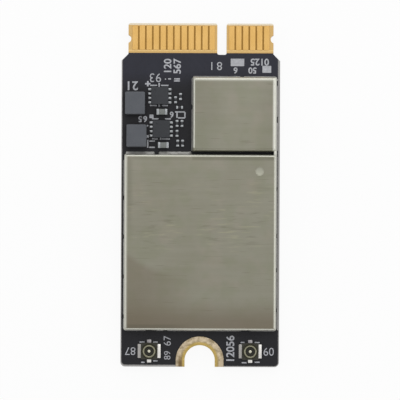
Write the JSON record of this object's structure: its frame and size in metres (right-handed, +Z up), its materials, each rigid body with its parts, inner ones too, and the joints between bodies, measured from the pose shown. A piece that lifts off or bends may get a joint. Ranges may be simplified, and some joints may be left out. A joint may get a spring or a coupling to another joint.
{
  "type": "laptop wireless card",
  "caption": "Flat laptop wireless card: black board with a keyed gold edge connector, metal shield cans, antenna sockets and a half-round screw notch.",
  "frame": {"origin": "middle of the card's underside", "axes": "+Z up out of the component face, +Y towards the contact tongue, +X to the right with the tongue pointing away"},
  "size_m": [0.017, 0.0368, 0.0024],
  "materials": {
    "board_mask": "black solder mask over woven laminate",
    "gold_plating": "gold-plated copper",
    "can_sheet": "satin rolled sheet",
    "tin": "bright tin and solder",
    "socket_plastic": "dark moulding",
    "inductor_mould": "dull pressed powder",
    "chip_mould": "dull moulding",
    "capacitor_body": "dull ceramic",
    "resistor_body": "glossy dark overcoat",
    "white_ceramic": "dull ceramic",
    "thermal_filler": "soft grey sheet"
  },
  "bodies": {
    "root": {"chip_resistor_1": "resistor_body", "chip_resistor_1_ends": "tin", "chip_resistor_2": "resistor_body", "chip_resistor_2_ends": "tin", "chip_resistor_3": "resistor_body", "chip_resistor_3_ends": "tin", "chip_resistor_4": "resistor_body", "chip_resistor_4_ends": "tin", "chip_resistor_5": "resistor_body", "chip_resistor_5_ends": "tin", "chip_resistor_6": "resistor_body", "chip_resistor_6_ends": "tin", "chip_resistor_7": "resistor_body", "chip_resistor_7_ends": "tin", "chip_resistor_8": "resistor_body", "chip_resistor_8_ends": "tin", "circuit_board": "board_mask", "companion_chip": "chip_mould", "companion_chip_balls": "tin", "companion_crystal_base": "white_ceramic", "companion_crystal_lid": "tin", "companion_filter": "white_ceramic", "crystal_base": "white_ceramic", "crystal_lid": "tin", "left_amplifier": "chip_mould", "left_filter": "white_ceramic", "left_socket_base": "socket_plastic", "left_socket_feet": "gold_plating", "left_socket_pin": "gold_plating", "left_socket_ring": "gold_plating", "long_contact_bank": "gold_plating", "lower_capacitor": "capacitor_body", "lower_capacitor_ends": "tin", "lower_inductor": "inductor_mould", "lower_inductor_terminals": "tin", "lower_regulator": "chip_mould", "lower_regulator_leads": "tin", "main_shield_can": "can_sheet", "main_shield_solder": "tin", "memory_chip": "chip_mould", "radio_chip": "chip_mould", "radio_chip_balls": "tin", "right_amplifier": "chip_mould", "right_filter": "white_ceramic", "right_socket_base": "socket_plastic", "right_socket_feet": "gold_plating", "right_socket_pin": "gold_plating", "right_socket_ring": "gold_plating", "screw_ground_ring": "gold_plating", "short_contact_bank": "gold_plating", "small_shield_can": "can_sheet", "small_shield_solder": "tin", "thermal_pad": "thermal_filler", "upper_capacitor": "capacitor_body", "upper_capacitor_ends": "tin", "upper_inductor": "inductor_mould", "upper_inductor_terminals": "tin", "upper_regulator": "chip_mould", "upper_regulator_leads": "tin"}
  },
  "joints": []
}
